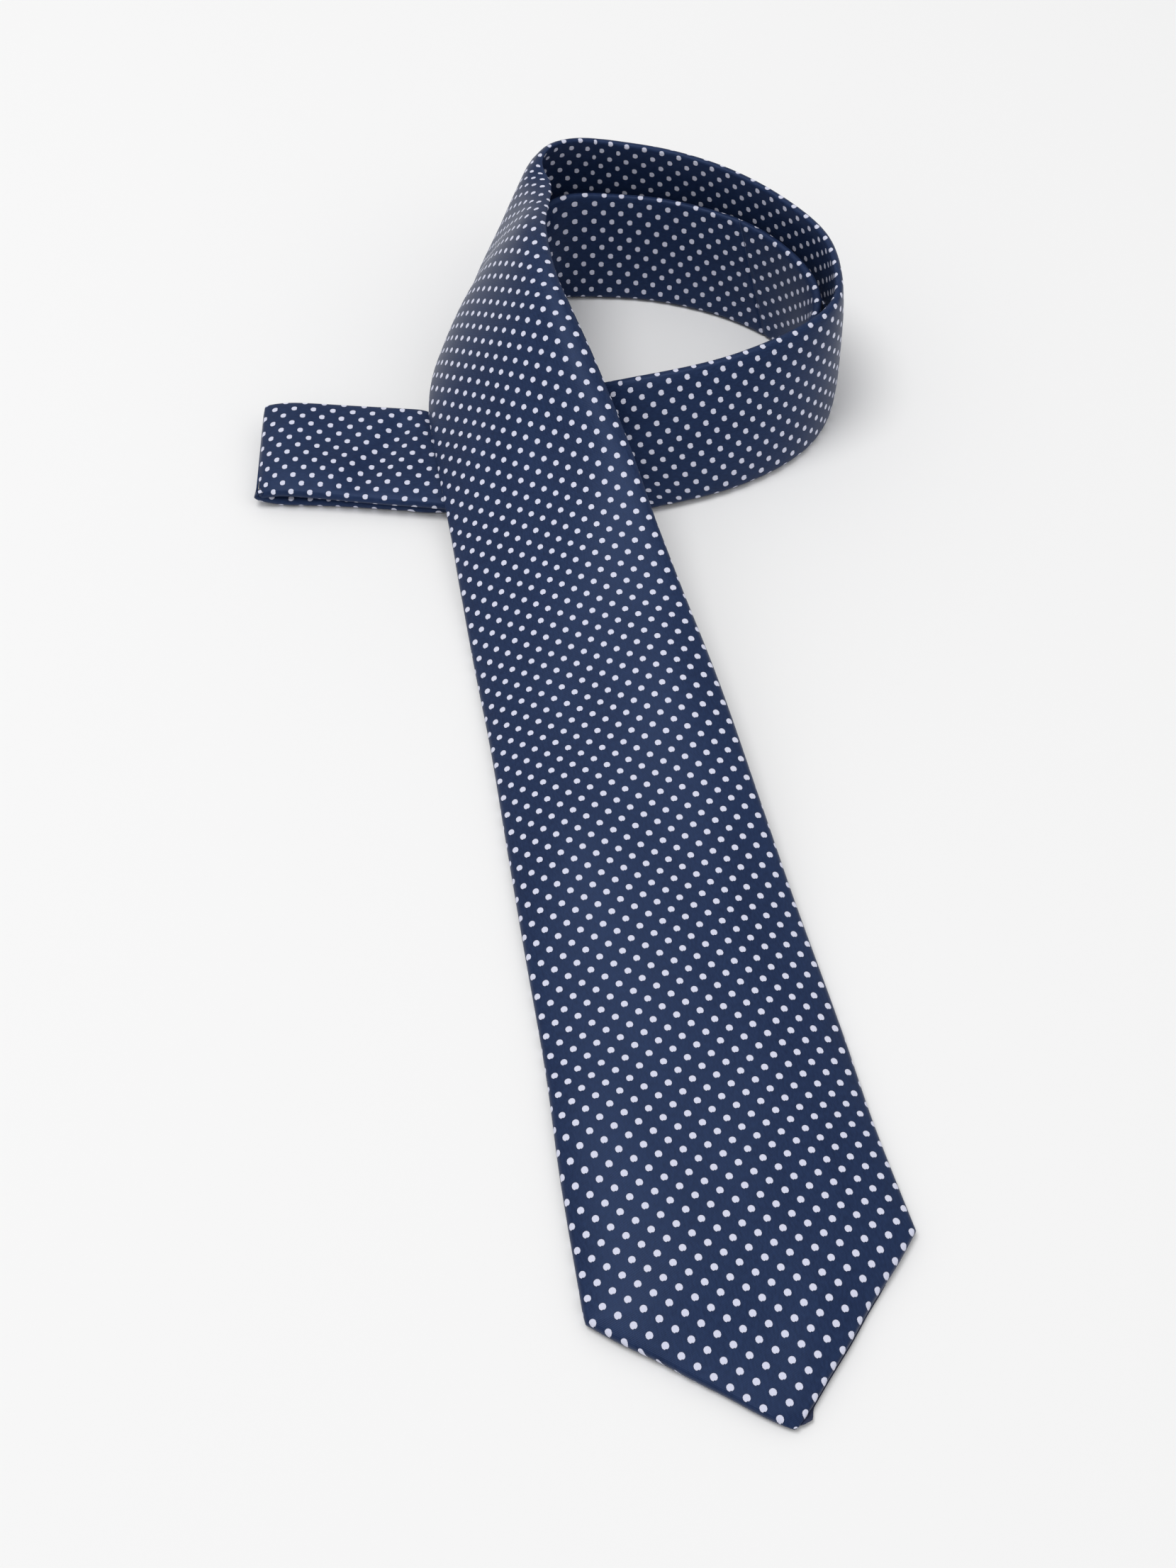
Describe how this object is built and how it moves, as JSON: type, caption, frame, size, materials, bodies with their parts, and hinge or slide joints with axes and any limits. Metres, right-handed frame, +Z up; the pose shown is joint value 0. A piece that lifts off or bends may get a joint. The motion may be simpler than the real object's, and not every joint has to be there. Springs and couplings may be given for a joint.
{
  "type": "necktie",
  "caption": "Coiled necktie of folded silk over wool interlining: wide pointed blade, narrow neck with a side loop, and a tail held by the keeper loop.",
  "frame": {"origin": "middle of the tie's outline, on the table it lies on", "axes": "+X across the wide blade, +Y from the wide tip towards the coil, +Z up from the table"},
  "size_m": [0.1869, 0.4008, 0.0566],
  "materials": {
    "navy_silk": "woven silk satin, navy with small pale dots",
    "interlining": "brushed wool",
    "lining": "plain satin lining",
    "thread": "sewing thread",
    "label": "blank woven label"
  },
  "bodies": {
    "coil": {"blade_panel_crossing": "navy_silk", "blade_panel_back": "navy_silk", "blade_panel_front": "navy_silk", "neck_panel_outer": "navy_silk", "neck_panel_inner": "navy_silk", "neck_panel_end": "navy_silk", "tail_panel_back": "navy_silk", "tail_panel_turn": "navy_silk", "interlining_outer": "interlining", "interlining_inner": "interlining", "neck_join_seam": "thread", "tail_join_seam": "thread", "slip_stitch_outer": "thread", "slip_stitch_inner": "thread"},
    "blade_middle": {"blade_panel_middle": "navy_silk", "tail_panel_middle": "navy_silk", "interlining_middle": "interlining", "slip_stitch_middle": "thread", "keeper_loop": "navy_silk", "blank_label": "label"},
    "blade_lower": {"blade_panel_lower": "navy_silk", "tail_panel_lower": "navy_silk", "interlining_lower": "interlining", "slip_stitch_lower": "thread", "blade_bar_tack": "thread", "tail_bar_tack": "thread", "care_label": "label"},
    "blade_tip": {"blade_panel_tip": "navy_silk", "tail_panel_tip": "navy_silk", "interlining_tip": "interlining", "blade_tipping": "lining", "tail_tipping": "lining"},
    "side_loop": {"neck_panel_loop": "navy_silk", "interlining_loop": "interlining", "slip_stitch_loop": "thread"}
  },
  "joints": [
    {"name": "blade_lift", "type": "hinge", "parent": "coil", "child": "blade_middle", "pos_m": [-0.0127, 0.0239, 0.0147], "axis": [-0.96, -0.004, -0.28], "range_deg": [0, 60]},
    {"name": "blade_fold", "type": "hinge", "parent": "blade_middle", "child": "blade_lower", "pos_m": [-0.0109, -0.041, 0.0108], "axis": [-0.9944, 0.01, -0.105], "range_deg": [0, 60]},
    {"name": "tip_fold", "type": "hinge", "parent": "blade_lower", "child": "blade_tip", "pos_m": [-0.0103, -0.1056, 0.0072], "axis": [-1, 0, 0], "range_deg": [0, 60]},
    {"name": "side_loop_lift", "type": "hinge", "parent": "coil", "child": "side_loop", "pos_m": [-0.0473, 0.1101, 0.0091], "axis": [0.24, 0.9631, 0.122], "range_deg": [0, 45]}
  ]
}
